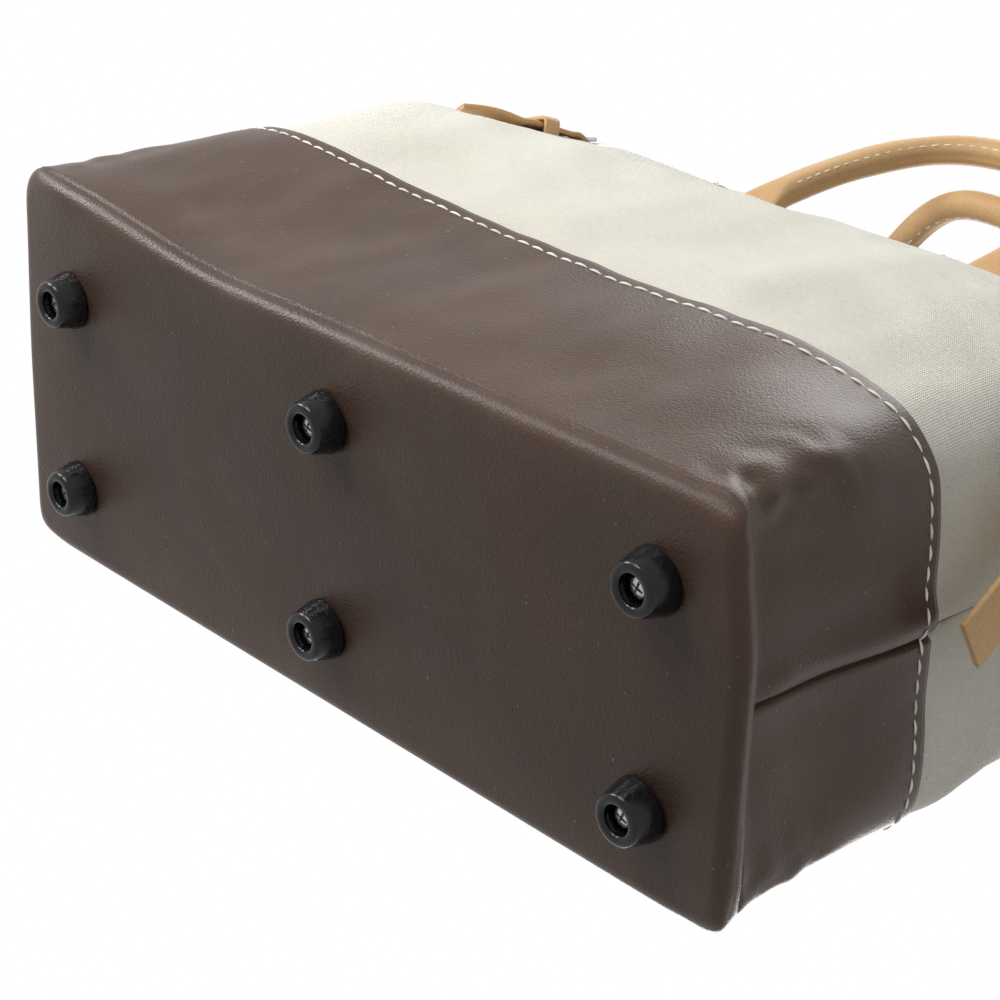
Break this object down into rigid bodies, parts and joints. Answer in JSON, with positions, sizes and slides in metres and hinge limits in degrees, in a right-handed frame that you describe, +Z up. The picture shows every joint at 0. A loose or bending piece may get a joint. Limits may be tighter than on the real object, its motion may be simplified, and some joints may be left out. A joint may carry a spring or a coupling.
{
  "type": "canvas tool bag",
  "caption": "Soft canvas tool bag with a dark vinyl boot on rubber feet, a hinged steel frame mouth, rolled leather handles and buckled leather straps.",
  "frame": {"origin": "centre of the footprint at the tips of the feet, on the surface the bag stands on", "axes": "+X along the bag's length to the viewer's right, -Y towards the front with the straps' buckles, +Z up"},
  "size_m": [0.427, 0.18, 0.4478],
  "materials": {
    "vinyl": "dark grey-brown grained vinyl, satin",
    "canvas": "natural heavy cotton duck, matt",
    "leather": "tan vegetable-tanned leather, satin",
    "rubber": "black moulded rubber, glossy",
    "steel": "plated steel, satin",
    "board": "brown hardboard, matt"
  },
  "bodies": {
    "root": {"vinyl_boot": "vinyl", "canvas_body": "canvas", "bottom_board": "board", "inner_pocket": "canvas", "frame_pivot_left": "steel", "frame_pivot_right": "steel", "foot_front_left": "rubber", "foot_screw_front_left": "steel", "tee_nut_front_left": "steel", "foot_front_middle": "rubber", "foot_screw_front_middle": "steel", "tee_nut_front_middle": "steel", "foot_front_right": "rubber", "foot_screw_front_right": "steel", "tee_nut_front_right": "steel", "foot_back_left": "rubber", "foot_screw_back_left": "steel", "tee_nut_back_left": "steel", "foot_back_middle": "rubber", "foot_screw_back_middle": "steel", "tee_nut_back_middle": "steel", "foot_back_right": "rubber", "foot_screw_back_right": "steel", "tee_nut_back_right": "steel"},
    "front_frame": {"front_frame_rod": "steel", "front_canvas_panel": "canvas", "front_handle_tab_left": "leather", "front_handle_tab_right": "leather", "front_handle_rivet_left": "steel", "front_handle_rivet_right": "steel", "left_buckle_chape": "leather", "left_chape_rivet": "steel", "left_strap_keeper": "leather", "right_buckle_chape": "leather", "right_chape_rivet": "steel", "right_strap_keeper": "leather"},
    "back_frame": {"back_frame_rod": "steel", "back_canvas_panel": "canvas", "back_handle_tab_left": "leather", "back_handle_tab_right": "leather", "back_handle_rivet_left": "steel", "back_handle_rivet_right": "steel", "left_closure_strap": "leather", "left_strap_rivet": "steel", "right_closure_strap": "leather", "right_strap_rivet": "steel"},
    "front_handle": {"front_handle": "leather"},
    "back_handle": {"back_handle": "leather"},
    "left_buckle": {"left_buckle_frame": "steel"},
    "left_prong": {"left_buckle_prong": "steel"},
    "right_buckle": {"right_buckle_frame": "steel"},
    "right_prong": {"right_buckle_prong": "steel"}
  },
  "joints": [
    {"name": "front_frame_hinge", "type": "hinge", "parent": "root", "child": "front_frame", "pos_m": [0, 0, 0.274], "axis": [1, 0, 0], "range_deg": [0, 40], "deforming": ["left_closure_strap", "right_closure_strap"]},
    {"name": "back_frame_hinge", "type": "hinge", "parent": "root", "child": "back_frame", "pos_m": [0, 0, 0.274], "axis": [1, 0, 0], "range_deg": [-40, 0], "deforming": ["left_closure_strap", "right_closure_strap"]},
    {"name": "front_handle_hinge", "type": "hinge", "parent": "front_frame", "child": "front_handle", "pos_m": [0, -0.0481, 0.31813], "axis": [1, 0, 0], "range_deg": [0, 90]},
    {"name": "back_handle_hinge", "type": "hinge", "parent": "back_frame", "child": "back_handle", "pos_m": [0, 0.0481, 0.31813], "axis": [1, 0, 0], "range_deg": [-90, 0]},
    {"name": "left_buckle_hinge", "type": "hinge", "parent": "front_frame", "child": "left_buckle", "pos_m": [-0.17807, -0.05878, 0.30005], "axis": [0.9871, -0.1569, -0.0316], "range_deg": [0, 35]},
    {"name": "right_buckle_hinge", "type": "hinge", "parent": "front_frame", "child": "right_buckle", "pos_m": [0.16729, -0.05879, 0.30006], "axis": [0.9859, 0.1649, 0.0277], "range_deg": [0, 35]},
    {"name": "left_prong_hinge", "type": "hinge", "parent": "left_buckle", "child": "left_prong", "pos_m": [-0.17807, -0.05878, 0.30005], "axis": [0.9871, -0.1569, -0.0316], "range_deg": [0, 30]},
    {"name": "right_prong_hinge", "type": "hinge", "parent": "right_buckle", "child": "right_prong", "pos_m": [0.16729, -0.05879, 0.30006], "axis": [0.9859, 0.1649, 0.0277], "range_deg": [0, 30]}
  ]
}
